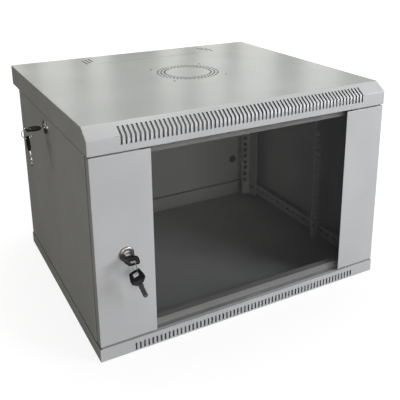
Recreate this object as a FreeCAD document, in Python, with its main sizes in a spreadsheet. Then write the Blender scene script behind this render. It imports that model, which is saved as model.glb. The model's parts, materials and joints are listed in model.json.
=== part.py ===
import FreeCAD, Part
import math
import os
import Sketcher
from FreeCAD import Placement, Rotation, Vector

# Wall mount network cabinet, six rack units high, with a glazed front door, two
# removable side panels and cam locks.  Millimetres; +X right, front towards -Y,
# +Z up; the origin is on the underside of the base, at the middle of the body.

doc = FreeCAD.newDocument("WallCabinet")

# ---------------------------------------------------------------- driving sizes

SIZES = (
    # the whole cabinet
    ("cabinet_width", 535, "over the top cover and the base"),
    ("body_depth", 430, "front face to the back of the body"),
    ("cabinet_height", 366, "floor plane to the flat top"),
    ("sheet_steel", 1.5, "covers, posts, rails and door strips"),
    ("panel_steel", 1.2, "side panels"),
    ("rail_steel", 2, "rack rails"),
    # top cover
    ("cover_overhang", 48, "top cover beyond the back of the body"),
    ("cover_skirt", 38, "height of the folded skirt"),
    ("bevel_run", 21, "sloped front edge, front to back"),
    ("bevel_drop", 15, "sloped front edge, height"),
    ("front_lip", 16, "inward fold under the cover front and over the base front"),
    ("side_lip", 10, "inward fold of the cover and base sides"),
    ("vent_pitch", 7, "vent slots, centre to centre"),
    ("vent_width", 3, "one vent slot"),
    ("vent_margin", 50.5, "end slots to the cabinet's side"),
    ("cover_vent_low", 12.5, "slot foot below the bevel's lower edge"),
    ("cover_vent_back", 14.5, "slot head behind the front face"),
    ("roof_centre_across", 10, "fan grille and cable flap, off the middle"),
    ("fan_centre_back", 34.5, "fan grille centre, from the middle of the body"),
    ("fan_screw_square", 105, "fan fixing holes, centre to centre"),
    ("fan_screw_hole", 4.5, "diameter"),
    ("grille_ring", 57, "radius of the outer ring of slots"),
    ("grille_step", 6.6, "ring to ring"),
    ("grille_slots", 48, "slots in each ring"),
    ("grille_slot_long", 4, "along the ring"),
    ("grille_slot_wide", 3.2, "across the ring"),
    ("flap_width", 252, "cable flap between its end slots"),
    ("flap_line", 25, "front line of the flap, ahead of the body's back"),
    ("flap_cut", 0.8, "width of the flap's cut line"),
    ("flap_bridge", 5, "uncut bridge in the flap's line"),
    ("tie_slot", 2.4, "width of the slots beside the flap"),
    ("tie_slot_long", 52, "longest slot beside the flap"),
    ("tie_slot_pitch", 8, "slots beside the flap, centre to centre"),
    # base
    ("base_tall", 22, "height of the base's folded sides"),
    ("base_vent_low", 2.5, "foot of the slots"),
    ("base_vent_tall", 11.5, "height of the slots"),
    # frame
    ("post_inset", 17, "post side to the cabinet's side"),
    ("post_face", 22, "width of the post face"),
    ("post_deep", 34, "depth of the front posts"),
    ("rear_post_face", 20, "width of the rear posts"),
    ("rear_post_deep", 24, "depth of the rear posts"),
    ("sill_rise", 11, "front cross rails beyond the covers"),
    ("sill_shelf", 12, "inward fold of the front cross rails"),
    ("head_rail_top", 26, "top of the upper front rail, below the roof"),
    ("rear_rail_low", 37, "top of the lower rear rail"),
    ("rear_rail_high", 26, "height of the upper rear rail"),
    ("beam_low", 20, "foot of the lower depth rails"),
    ("beam_tall", 20, "height of the depth rails"),
    ("beam_high", 24, "top of the upper depth rails, below the roof"),
    ("beam_flange", 4, "fold of the depth rails"),
    ("beam_pitch", 20, "slots in the depth rails"),
    ("beam_slot_long", 12, "along the rail"),
    ("beam_slot_wide", 6, "across the rail"),
    ("bolt_shank", 5, "diameter"),
    ("bolt_head", 8, "across flats"),
    ("bolt_head_tall", 3, "height of heads and nuts"),
    # nineteen inch rack rails
    ("rail_wide", 22.5, "width of a rack rail; 450 is left between the rails"),
    ("rack_column_in", 7.55, "hole column behind the rail's inner edge; columns 465.1 apart"),
    ("rack_unit", 44.45, "one rack unit"),
    ("rack_hole", 9.5, "square cage nut hole"),
    ("rack_hole_first", 6.35, "first hole above a unit's foot"),
    ("rack_hole_step", 15.875, "holes within a unit"),
    ("rail_set_back", 130, "front rack rails behind the front"),
    ("rail_deep", 30, "depth of a rack rail"),
    ("rail_low", 10, "foot of the rack rails"),
    ("rail_high", 10, "top of the rack rails, below the roof"),
    ("rail_slot_long", 8, "fixing slot of a rack rail, front to back"),
    ("rear_rail_clear", 60, "least room behind the rear rack rails' bolts"),
    # back
    ("wall_hole_from_side", 52.5, "wall fixing holes to the cabinet's side; 430 apart"),
    ("wall_hole_from_end", 49.5, "wall fixing holes to the wall rail's ends; 180 apart"),
    ("wall_hole", 9, "diameter"),
    ("driver_hole", 18, "diameter of the holes for the screwdriver"),
    ("wall_rail_width", 40, "channel of the wall rails"),
    ("wall_rail_foot", 14, "flange of the wall rails"),
    ("wall_rail_gap", 6, "wall rails short of the top cover and of the lower rail"),
    # side panels
    ("panel_side_inset", 1.5, "panel face to the cabinet's side"),
    ("panel_return", 12, "folded edge of the side panels"),
    ("panel_front_gap", 20.5, "side panels behind the front face"),
    ("panel_seat", 0.3, "side panels above the base"),
    ("panel_head_gap", 1, "side panels below the top cover"),
    ("panel_lock_down", 20, "side lock below the panel's top"),
    ("panel_lock_back", 16, "side lock behind the middle of the body"),
    # door
    ("door_side_inset", 1.5, "door edge to the cabinet's side"),
    ("door_foot_gap", 3, "door above the base"),
    ("door_head_gap", 2, "door below the top cover"),
    ("door_thick", 14, "depth of the door strips"),
    ("lock_strip", 91.5, "width of the left strip"),
    ("hinge_strip", 80, "width of the right strip"),
    ("glass_lap", 14, "glass behind each strip"),
    ("glass_thick", 4, "tempered glass"),
    ("glass_edge", 0.5, "polished edge"),
    ("glass_short", 0.3, "glass within the strips' ends"),
    ("tape_thick", 1, "bonding tape"),
    ("tape_width", 12, "bonding tape"),
    ("hinge_from_side", 8, "hinge pin to the door's edge"),
    ("hinge_from_front", 8, "hinge pin behind the door's face"),
    ("hinge_pin", 6, "diameter"),
    ("hinge_play", 0.05, "pin to bush, on the radius"),
    ("hinge_pin_long", 16, "length"),
    ("hinge_pin_out", 8, "pin beyond the door's end"),
    ("bush_tube", 9, "diameter of the bush in the lip"),
    ("bush_gap", 0.3, "bush to the door's end"),
    ("door_lock_down", 5.5, "door lock below the middle of the door"),
    ("door_lock_in", 47.5, "door lock from the door's edge"),
    # locks
    ("lock_rosette", 24, "diameter of the outer flange"),
    ("lock_rosette_thick", 3, "thickness of the outer flange"),
    ("lock_barrel", 18, "diameter"),
    ("lock_hole_play", 0.3, "barrel in the sheet, on the radius"),
    ("lock_plug", 12, "diameter"),
    ("lock_plug_play", 0.05, "plug in the housing, on the radius"),
    ("lock_plug_proud", 0.6, "plug beyond the rosette"),
    ("lock_nut", 24, "across flats"),
    ("lock_nut_thick", 4, "thickness"),
    ("cam_gap", 0.5, "cam behind the housing"),
    ("cam_thick", 2, "thickness"),
    ("cam_width", 14, "width"),
    ("cam_reach", 24, "lock axis to the cam's tip"),
    ("cam_square", 6, "square end of the plug"),
    ("cam_screw", 9, "across the flats of the cam screw's head"),
    ("door_barrel_long", 23.5, "door lock behind the sheet's face"),
    # keys and rings
    ("key_blade_long", 26, "blade beyond the bow"),
    ("key_blade_width", 7.6, "width"),
    ("key_blade_thick", 2, "thickness"),
    ("key_out", 5, "blade between the plug and the bow"),
    ("keyway_play", 0.2, "blade in the plug, each side"),
    ("bow_width", 22, "moulded bow"),
    ("bow_long", 24, "moulded bow"),
    ("bow_thick", 2.6, "moulded bow"),
    ("bow_neck", 10, "bow at the blade"),
    ("bow_end", 16, "bow at its far end"),
    ("bow_strip", 2.6, "bow beyond its slot"),
    ("bow_slot_long", 8.4, "slot along the key"),
    ("bow_slot_wide", 8, "slot across the key"),
    ("ring_radius", 9, "key ring, to the middle of the wire"),
    ("ring_wire", 1.4, "key ring, both turns of its flat wire together"),
    ("ring_hang", 6.2, "ring centre below the bow it hangs on"),
    ("ring_play", 0.35, "spare key's bow above the ring"),
    ("spare_lean", 20, "degrees that the spare key hangs off the vertical"),
)

sheet = doc.addObject("Spreadsheet::Sheet", "Sizes")
for row, (alias, number, meaning) in enumerate(SIZES, start=1):
    sheet.set("A%d" % row, alias)
    sheet.set("B%d" % row, str(number))
    sheet.set("C%d" % row, meaning)
    sheet.setAlias("B%d" % row, alias)
doc.recompute()


class Size:
    """A length that knows its value and the sheet formula that gives it."""

    def __init__(self, value, formula):
        self.value = value
        self.formula = formula

    def __add__(self, other):
        other = as_size(other)
        return Size(self.value + other.value, "(%s + %s)" % (self.formula, other.formula))

    def __radd__(self, other):
        return as_size(other) + self

    def __sub__(self, other):
        other = as_size(other)
        return Size(self.value - other.value, "(%s - %s)" % (self.formula, other.formula))

    def __rsub__(self, other):
        return as_size(other) - self

    def __mul__(self, other):
        other = as_size(other)
        return Size(self.value * other.value, "(%s * %s)" % (self.formula, other.formula))

    def __rmul__(self, other):
        return as_size(other) * self

    def __truediv__(self, other):
        other = as_size(other)
        return Size(self.value / other.value, "(%s / %s)" % (self.formula, other.formula))

    def __neg__(self):
        return as_size(-1) * self

    def root(self):
        return Size(math.sqrt(self.value), "sqrt(%s)" % self.formula)

    def floor(self):
        """Whole number, with a thousandth to spare for rounding."""
        return Size(math.floor(self.value + 0.001), "floor(%s + 0.001)" % self.formula)


def as_size(number):
    if isinstance(number, Size):
        return number
    return Size(float(number), repr(float(number)))


def size(alias):
    return Size(float(sheet.get(alias)), "Sizes." + alias)


# ------------------------------------------------------------- modelling helpers

def bind(feature, name, length):
    length = as_size(length)
    setattr(feature, name, length.value)
    feature.setExpression(name, length.formula)


def bind_count(pattern, count):
    count = as_size(count)
    pattern.Occurrences = int(count.value)
    pattern.setExpression("Occurrences", count.formula)


def place(feature, x=0, y=0, z=0, rotation=None):
    spot = [as_size(part) for part in (x, y, z)]
    base = Vector(*[part.value for part in spot])
    feature.Placement = Placement(base, rotation or Rotation())
    for axis, part in zip("xyz", spot):
        feature.setExpression("Placement.Base." + axis, part.formula)


def new_body(label):
    body = doc.addObject("PartDesign::Body", label)
    body.Label = label
    return body


def sketch_on(body, role, offset=0):
    """An empty sketch on one of the body's own origin planes."""
    plane = [item for item in body.Origin.OriginFeatures if item.Role == role][0]
    sketch = body.newObject("Sketcher::SketchObject", body.Label + "_sketch")
    sketch.AttachmentSupport = (plane, [""])
    sketch.MapMode = "FlatFace"
    offset = as_size(offset)
    sketch.AttachmentOffset = Placement(Vector(0, 0, offset.value), Rotation())
    sketch.setExpression("AttachmentOffset.Base.z", offset.formula)
    return sketch


def tie_point(sketch, edge, end, x, y):
    """Tie one end of an edge to its place from the sketch's origin."""
    for kind, axis, length in (("DistanceX", -2, x), ("DistanceY", -1, y)):
        length = as_size(length)
        if length.formula == "0.0":
            sketch.addConstraint(Sketcher.Constraint("PointOnObject", edge, end, axis))
        else:
            tie = sketch.addConstraint(Sketcher.Constraint(kind, -1, 1, edge, end, length.value))
            sketch.setExpression("Constraints[%d]" % tie, length.formula)


def draw_polygon(sketch, corners):
    corners = [(as_size(x), as_size(y)) for x, y in corners]
    first = sketch.GeometryCount
    count = len(corners)
    for at in range(count):
        x, y = corners[at]
        next_x, next_y = corners[(at + 1) % count]
        start = Vector(x.value, y.value, 0)
        finish = Vector(next_x.value, next_y.value, 0)
        sketch.addGeometry(Part.LineSegment(start, finish), False)
    for at in range(count):
        follower = first + (at + 1) % count
        sketch.addConstraint(Sketcher.Constraint("Coincident", first + at, 2, follower, 1))
    for at, (x, y) in enumerate(corners):
        tie_point(sketch, first + at, 1, x, y)


def draw_box(sketch, x0, x1, y0, y1):
    draw_polygon(sketch, ((x0, y0), (x1, y0), (x1, y1), (x0, y1)))


def draw_circle(sketch, x, y, diameter):
    x, y, radius = as_size(x), as_size(y), as_size(diameter) / 2
    centre = Vector(x.value, y.value, 0)
    circle = sketch.addGeometry(Part.Circle(centre, Vector(0, 0, 1), radius.value), False)
    tie = sketch.addConstraint(Sketcher.Constraint("Radius", circle, radius.value))
    sketch.setExpression("Constraints[%d]" % tie, radius.formula)
    tie_point(sketch, circle, 3, x, y)


def draw_hexagon(sketch, across_flats):
    corner = across_flats / as_size(3).root()
    draw_polygon(sketch, [(corner * math.cos(math.radians(60 * at)),
                           corner * math.sin(math.radians(60 * at))) for at in range(6)])


def extrude(kind, body, sketch, length, symmetric=False, backwards=False):
    feature = body.newObject("PartDesign::" + kind, body.Label + "_" + kind.lower())
    feature.Profile = sketch
    if symmetric:
        feature.SideType = "Symmetric"
    feature.Reversed = backwards
    bind(feature, "Length", length)
    return feature


def pad(body, sketch, length, symmetric=False, backwards=False):
    return extrude("Pad", body, sketch, length, symmetric, backwards)


def pocket(body, sketch, length, symmetric=False, backwards=False):
    """Cut, and check that something was cut."""
    doc.recompute()
    before = body.Shape.Volume
    feature = extrude("Pocket", body, sketch, length, symmetric, backwards)
    doc.recompute()
    if not body.Shape.Volume < before - 1e-6:
        raise RuntimeError("a pocket of %s cuts nothing" % body.Label)
    return feature


def repeat_along(body, features, sketch, axis, pitch, count):
    pattern = body.newObject("PartDesign::LinearPattern", body.Label + "_row")
    pattern.Originals = features
    pattern.Direction = (sketch, [axis])
    bind(pattern, "Length", pitch * (count - 1))
    bind_count(pattern, count)
    body.Tip = pattern
    return pattern


def repeat_round(body, features, sketch, count):
    pattern = body.newObject("PartDesign::PolarPattern", body.Label + "_ring")
    pattern.Originals = features
    pattern.Axis = (sketch, ["N_Axis"])
    pattern.Angle = 360
    bind_count(pattern, count)
    body.Tip = pattern
    return pattern


def revolve(body, sketch, axis):
    feature = body.newObject("PartDesign::Revolution", body.Label + "_turned")
    feature.Profile = sketch
    feature.ReferenceAxis = (sketch, [axis])
    feature.Angle = 360
    return feature


def primitive(kind, label, **lengths):
    feature = doc.addObject("Part::" + kind, label)
    feature.Label = label
    for name, length in lengths.items():
        bind(feature, name, length)
    return feature


def group(label, pieces):
    """One sub-part of several like pieces."""
    compound = doc.addObject("Part::Compound", label)
    compound.Label = label
    compound.Links = pieces
    return compound


def long_edges(shape, thickness):
    """Names of the edges that are longer than the sheet is thick."""
    return ["Edge%d" % number for number, edge in enumerate(shape.Edges, start=1)
            if edge.Length > thickness * 2]


# ------------------------------------------------------- places worked out from them

steel = size("sheet_steel")
side = size("cabinet_width") / 2
back = size("body_depth") / 2
front = -back
roof = size("cabinet_height")
cover_back = back + size("cover_overhang")
skirt_foot = roof - size("cover_skirt")
base_top = size("base_tall")
lip_edge = front + size("front_lip")
cover_vents = ((size("cabinet_width") - 2 * size("vent_margin")) / size("vent_pitch")).floor() + 1
first_vent = -size("vent_pitch") * (cover_vents - 1) / 2
sill_top = base_top + size("sill_rise")
head_foot = skirt_foot - size("sill_rise") - 2 * steel

post_side = side - size("post_inset")
bevel_slope = (size("bevel_run") * size("bevel_run") + size("bevel_drop") * size("bevel_drop")).root()
inside_bevel = steel * (bevel_slope - size("bevel_run")) / size("bevel_drop")
post_front = front + size("bevel_run") + inside_bevel
post_inner = post_side - size("post_face")
back_inside = back - steel
back_width = 2 * (post_side - steel - size("rear_post_face"))
beam_face = post_side - 2 * steel
rail_face = front + size("rail_set_back")
front_rail_bolt = rail_face + size("rail_deep") / 2
rail_steps = ((back - front_rail_bolt - size("rear_rail_clear")
               + size("rail_deep") / 2) / size("beam_pitch")).floor()
rear_rail_bolt = front_rail_bolt + rail_steps * size("beam_pitch")
rear_rail_face = rear_rail_bolt + size("rail_deep") / 2
low_beam_middle = size("beam_low") + size("beam_tall") / 2
high_beam_middle = roof - size("beam_high") - size("beam_tall") / 2

panel_face = side - size("panel_side_inset")
panel_foot = base_top + size("panel_seat")
panel_top = skirt_foot - size("panel_head_gap")
panel_front = front + size("panel_front_gap")
panel_lock_z = panel_top - size("panel_lock_down")

wall_hole_x = side - size("wall_hole_from_side")
wall_rail_foot = size("rear_rail_low") + size("wall_rail_gap")
wall_rail_head = skirt_foot - size("wall_rail_gap")
wall_holes_z = (wall_rail_foot + size("wall_hole_from_end"),
                wall_rail_head - size("wall_hole_from_end"))

door_side = side - size("door_side_inset")
door_foot = base_top + size("door_foot_gap")
door_top = skirt_foot - size("door_head_gap")
hinge_x = door_side - size("hinge_from_side")
hinge_y = front + size("hinge_from_front")
door_lock_x = size("door_lock_in") - door_side
door_lock_z = (door_foot + door_top) / 2 - size("door_lock_down")
glass_front = front + steel + size("tape_thick")


# ----------------------------------------------------------------- covers and back

def make_top_cover():
    """Folded tray with a sloped front edge, a skirt and an inward lip."""
    body = new_body("top_cover")
    run, drop = size("bevel_run"), size("bevel_drop")
    outside = sketch_on(body, "YZ_Plane")
    draw_polygon(outside, (
        (front, skirt_foot), (cover_back, skirt_foot), (cover_back, roof),
        (front + run, roof), (front, roof - drop)))
    pad(body, outside, 2 * side, symmetric=True)
    hollow = sketch_on(body, "YZ_Plane")
    draw_polygon(hollow, (
        (front + steel, skirt_foot + steel), (cover_back - steel, skirt_foot + steel),
        (cover_back - steel, roof - steel),
        (front + run + inside_bevel, roof - steel),
        (front + steel, roof - drop - steel * (bevel_slope - drop) / run)))
    pocket(body, hollow, 2 * (side - steel), symmetric=True)
    mouth = sketch_on(body, "XY_Plane", skirt_foot + steel)
    lip = size("side_lip")
    draw_box(mouth, lip - side, side - lip, lip_edge, cover_back - lip)
    pocket(body, mouth, 2 * steel, symmetric=True)
    hinge_hole = sketch_on(body, "XY_Plane", skirt_foot + steel)
    draw_circle(hinge_hole, hinge_x, hinge_y, size("bush_tube"))
    pocket(body, hinge_hole, 2 * steel, symmetric=True)
    cut_cable_flap(body)
    cut_fan_grille(body)
    cut_cover_vents(body, run, drop)


def cut_cover_vents(body, run, drop):
    """Slots that run over the lower edge of the slope, all along the front."""
    vent = sketch_on(body, "YZ_Plane", first_vent)
    foot = roof - drop - size("cover_vent_low")
    head = front + size("cover_vent_back")
    under_slope = roof - drop + drop * size("cover_vent_back") / run - 3 * steel
    draw_polygon(vent, (
        (front - steel, foot), (front + 2 * steel, foot), (head, under_slope),
        (head, roof + steel), (front - steel, roof + steel)))
    slot = pocket(body, vent, size("vent_width"), symmetric=True)
    repeat_along(body, [slot], vent, "N_Axis", size("vent_pitch"), cover_vents)


def cut_fan_grille(body):
    """Three staggered rings of short slots, and the four fan fixing holes."""
    middle_x, middle_y = size("roof_centre_across"), size("fan_centre_back")
    half_square = size("fan_screw_square") / 2
    holes = sketch_on(body, "XY_Plane", roof)
    for across in (-1, 1):
        for along in (-1, 1):
            draw_circle(holes, middle_x + across * half_square, middle_y + along * half_square,
                        size("fan_screw_hole"))
    pocket(body, holes, 2 * steel, symmetric=True)
    half_long, half_wide = size("grille_slot_long") / 2, size("grille_slot_wide") / 2
    for ring in range(3):
        slot = sketch_on(body, "XY_Plane", roof)
        radius = size("grille_ring") - ring * size("grille_step")
        shift = half_long * (ring % 2) + half_long * (ring % 2) / 2
        draw_box(slot, shift - half_long, shift + half_long, radius - half_wide, radius + half_wide)
        slot.setExpression("AttachmentOffset.Base.x", middle_x.formula)
        slot.setExpression("AttachmentOffset.Base.y", middle_y.formula)
        cut = pocket(body, slot, 2 * steel, symmetric=True)
        repeat_round(body, [cut], slot, size("grille_slots"))


def cut_cable_flap(body):
    """Cut line of a push-out cable flap, with tie slots beside each end."""
    middle = size("roof_centre_across")
    half_flap, line = size("flap_width") / 2, back - size("flap_line")
    bridge, cut = size("flap_bridge") / 2, size("flap_cut") / 2
    flap = sketch_on(body, "XY_Plane", roof)
    draw_box(flap, middle - half_flap, middle - bridge, line - cut, line + cut)
    draw_box(flap, middle + bridge, middle + half_flap, line - cut, line + cut)
    for end in (-1, 1):
        for number in range(3):
            x = middle + end * (half_flap + number * size("tie_slot_pitch"))
            foot = line + size("tie_slot_long") * (2 - number) / 6 + 2 * size("tie_slot")
            head = line + size("tie_slot_long") * (8 - number) / 8 + size("tie_slot")
            half = size("tie_slot") / 2
            draw_box(flap, x - half, x + half, foot, head)
    pocket(body, flap, 2 * steel, symmetric=True)


def make_base_cover():
    """Shallow folded tray with a slotted front and an inward lip."""
    body = new_body("base_cover")
    outside = sketch_on(body, "XY_Plane")
    draw_box(outside, -side, side, front, back)
    pad(body, outside, base_top)
    hollow = sketch_on(body, "XY_Plane", steel)
    draw_box(hollow, steel - side, side - steel, front + steel, back - steel)
    pocket(body, hollow, base_top - 2 * steel, backwards=True)
    mouth = sketch_on(body, "XY_Plane", base_top)
    lip = size("side_lip")
    draw_box(mouth, lip - side, side - lip, lip_edge, back - steel)
    pocket(body, mouth, 2 * steel, symmetric=True)
    hinge_hole = sketch_on(body, "XY_Plane", base_top)
    draw_circle(hinge_hole, hinge_x, hinge_y, size("bush_tube"))
    pocket(body, hinge_hole, 2 * steel, symmetric=True)
    vent = sketch_on(body, "YZ_Plane", first_vent + size("vent_pitch"))
    foot = size("base_vent_low")
    draw_box(vent, front - steel, front + 2 * steel, foot, foot + size("base_vent_tall"))
    slot = pocket(body, vent, size("vent_width"), symmetric=True)
    repeat_along(body, [slot], vent, "N_Axis", size("vent_pitch"), cover_vents - 1)


def make_back_panel():
    """Flat back with holes for a screwdriver, in line with the wall fixings."""
    body = new_body("back_panel")
    outside = sketch_on(body, "XZ_Plane", -(back_inside - steel))
    draw_box(outside, -back_width / 2, back_width / 2,
             size("rear_rail_low"), roof - steel - size("rear_rail_high"))
    for across in (-1, 1):
        for z in wall_holes_z:
            draw_circle(outside, across * wall_hole_x, z, size("driver_hole"))
    pad(body, outside, steel, backwards=True)


def make_rear_rail(label, foot, head, fold_up):
    """Cross rail at the back, folded inwards along the edge that meets the back panel."""
    body = new_body(label)
    section = sketch_on(body, "YZ_Plane")
    fold = back_inside - size("sill_shelf")
    inner = back_inside - steel
    if fold_up:
        corners = ((back_inside, foot), (back_inside, head), (fold, head),
                   (fold, head - steel), (inner, head - steel), (inner, foot))
    else:
        corners = ((back_inside, head), (back_inside, foot), (fold, foot),
                   (fold, foot + steel), (inner, foot + steel), (inner, head))
    draw_polygon(section, corners)
    pad(body, section, back_width, symmetric=True)


def make_wall_rail(label, hand):
    """Hat section that stands the body off the wall, level with the top cover."""
    body = new_body(label)
    middle = hand * wall_hole_x
    half, foot = size("wall_rail_width") / 2, size("wall_rail_foot")
    near, far = back_inside, cover_back
    section = sketch_on(body, "XY_Plane", wall_rail_foot)
    draw_polygon(section, (
        (middle - half - foot, near), (middle - half + steel, near),
        (middle - half + steel, far - steel), (middle + half - steel, far - steel),
        (middle + half - steel, near), (middle + half + foot, near),
        (middle + half + foot, near + steel), (middle + half, near + steel),
        (middle + half, far), (middle - half, far),
        (middle - half, near + steel), (middle - half - foot, near + steel)))
    pad(body, section, wall_rail_head - wall_rail_foot)
    holes = sketch_on(body, "XZ_Plane", -far)
    for z in wall_holes_z:
        draw_circle(holes, middle, z, size("wall_hole"))
    pocket(body, holes, 2 * steel, symmetric=True)


# ------------------------------------------------------------------------- frame

def make_front_post(label, hand):
    """Angle with its face behind the door."""
    body = new_body(label)
    section = sketch_on(body, "XY_Plane", steel)
    draw_polygon(section, (
        (hand * post_side, post_front), (hand * post_inner, post_front),
        (hand * post_inner, post_front + steel), (hand * (post_side - steel), post_front + steel),
        (hand * (post_side - steel), post_front + size("post_deep")),
        (hand * post_side, post_front + size("post_deep"))))
    pad(body, section, roof - 2 * steel)


def make_rear_post(label, hand):
    """Angle in the rear corner, behind the back panel's edge."""
    body = new_body(label)
    section = sketch_on(body, "XY_Plane", steel)
    draw_polygon(section, (
        (hand * post_side, back_inside),
        (hand * (post_side - steel - size("rear_post_face")), back_inside),
        (hand * (post_side - steel - size("rear_post_face")), back_inside - steel),
        (hand * (post_side - steel), back_inside - steel),
        (hand * (post_side - steel), back_inside - size("rear_post_deep")),
        (hand * post_side, back_inside - size("rear_post_deep"))))
    pad(body, section, roof - 2 * steel)


def make_front_rail(label, foot, head, fold_at_head):
    """Cross rail behind the door's end: a sill below, a head above."""
    body = new_body(label)
    section = sketch_on(body, "YZ_Plane")
    shelf = lip_edge + size("sill_shelf")
    if fold_at_head:
        draw_polygon(section, (
            (lip_edge, foot), (shelf, foot), (shelf, foot + steel),
            (lip_edge + steel, foot + steel), (lip_edge + steel, head - steel),
            (shelf, head - steel), (shelf, head), (lip_edge, head)))
    else:
        draw_polygon(section, (
            (lip_edge, foot), (shelf, foot), (shelf, foot + steel),
            (lip_edge + steel, foot + steel), (lip_edge + steel, head), (lip_edge, head)))
    pad(body, section, 2 * post_inner, symmetric=True)


def make_depth_rail(label, hand, middle):
    """Slotted rail that joins the posts and carries the rack rails."""
    body = new_body(label)
    half = size("beam_tall") / 2
    web = sketch_on(body, "YZ_Plane", hand * beam_face)
    draw_box(web, post_front + steel, back_inside - steel, middle - half, middle + half)
    pad(body, web, steel, backwards=hand < 0)
    fold = sketch_on(body, "YZ_Plane", hand * beam_face)
    draw_box(fold, post_front + size("post_deep") + steel,
             back_inside - size("rear_post_deep") - steel, middle + half - steel, middle + half)
    pad(body, fold, steel + size("beam_flange"), backwards=hand < 0)
    slot = sketch_on(body, "YZ_Plane", hand * beam_face)
    long, wide = size("beam_slot_long") / 2, size("beam_slot_wide") / 2
    ahead = ((front_rail_bolt - long - post_front - size("post_deep"))
             / size("beam_pitch")).floor()
    start = front_rail_bolt - ahead * size("beam_pitch")
    draw_box(slot, start - long, start + long, middle - wide, middle + wide)
    cut = pocket(body, slot, 4 * steel, symmetric=True)
    repeat_along(body, [cut], slot, "H_Axis", size("beam_pitch"), ahead + rail_steps + 1)


def make_rack_rail(label, hand, face, web_way):
    """Nineteen inch rail: an angle with square holes at the rack spacing."""
    body = new_body(label)
    thick = size("rail_steel")
    low, high = size("rail_low"), roof - size("rail_high")
    section = sketch_on(body, "XY_Plane", low)
    inner, outer = beam_face - size("rail_wide"), beam_face
    draw_polygon(section, (
        (hand * inner, face), (hand * outer, face),
        (hand * outer, face + web_way * size("rail_deep")),
        (hand * (outer - thick), face + web_way * size("rail_deep")),
        (hand * (outer - thick), face + web_way * thick), (hand * inner, face + web_way * thick)))
    pad(body, section, high - low)
    rack_units = ((head_foot - sill_top) / size("rack_unit")).floor()
    rack_foot = (sill_top + head_foot - size("rack_unit") * rack_units) / 2
    holes = sketch_on(body, "XZ_Plane", -face)
    half = size("rack_hole") / 2
    column = hand * (inner + size("rack_column_in"))
    for step in range(3):
        level = rack_foot + size("rack_hole_first") + step * size("rack_hole_step")
        draw_box(holes, column - half, column + half, level - half, level + half)
    cut = pocket(body, holes, 4 * thick, symmetric=True)
    repeat_along(body, [cut], holes, "V_Axis", size("rack_unit"), rack_units)
    slots = sketch_on(body, "YZ_Plane", hand * beam_face)
    bolt_y = face + web_way * size("rail_deep") / 2
    long, wide = size("rail_slot_long") / 2, size("beam_slot_wide") / 2
    for z in (low_beam_middle, high_beam_middle):
        draw_box(slots, bolt_y - long, bolt_y + long, z - wide, z + wide)
    pocket(body, slots, 4 * thick, symmetric=True)


def bar_along_x(kind, label, hand, x, y, z, **lengths):
    """A primitive that starts at x and points away from the cabinet's middle."""
    bar = primitive(kind, label, **lengths)
    place(bar, x, y, z, Rotation(Vector(0, 1, 0), 90 * hand))
    return bar


def make_rail_bolts():
    """Bolts, each with its nut run up, through the rack rails and the depth rails' slots."""
    corner = size("bolt_head") / as_size(3).root()
    tall = size("bolt_head_tall")
    inner, outer = beam_face - size("rail_steel"), beam_face + steel
    bolts = []
    for hand, side_name in ((-1, "left"), (1, "right")):
        for end, y in (("front", front_rail_bolt), ("rear", rear_rail_bolt)):
            for height, z in (("low", low_beam_middle), ("high", high_beam_middle)):
                label = "_".join(("bolt", end, side_name, height))
                bolt = doc.addObject("Part::MultiFuse", label)
                bolt.Shapes = [
                    bar_along_x("Prism", label + "_head", hand, hand * (inner - tall), y, z,
                                Circumradius=corner, Height=tall),
                    bar_along_x("Cylinder", label + "_shank", hand, hand * inner, y, z,
                                Radius=size("bolt_shank") / 2, Height=outer - inner),
                    bar_along_x("Prism", label + "_nut", hand, hand * outer, y, z,
                                Circumradius=corner, Height=tall)]
                bolts.append(bolt)
    group("rail_bolts", bolts)


# -------------------------------------------------------------------------- door

def make_door_strip(label, hand, width):
    """Folded steel strip beside the glass, open towards the cabinet."""
    body = new_body(label)
    edge, inner = hand * door_side, hand * (door_side - width)
    lap = hand * (door_side - width + size("glass_lap") + steel)
    deep = size("door_thick")
    outside = sketch_on(body, "XZ_Plane", -front)
    draw_box(outside, edge, inner, door_foot, door_top)
    pad(body, outside, deep, backwards=True)
    hollow = sketch_on(body, "XZ_Plane", -(front + steel))
    draw_box(hollow, hand * (door_side - steel), lap, door_foot + steel, door_top - steel)
    pocket(body, hollow, deep)
    glass_side = sketch_on(body, "XZ_Plane", -(front + steel))
    draw_box(glass_side, lap, inner - hand * steel, door_foot - steel, door_top + steel)
    pocket(body, glass_side, deep)
    return body


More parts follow.
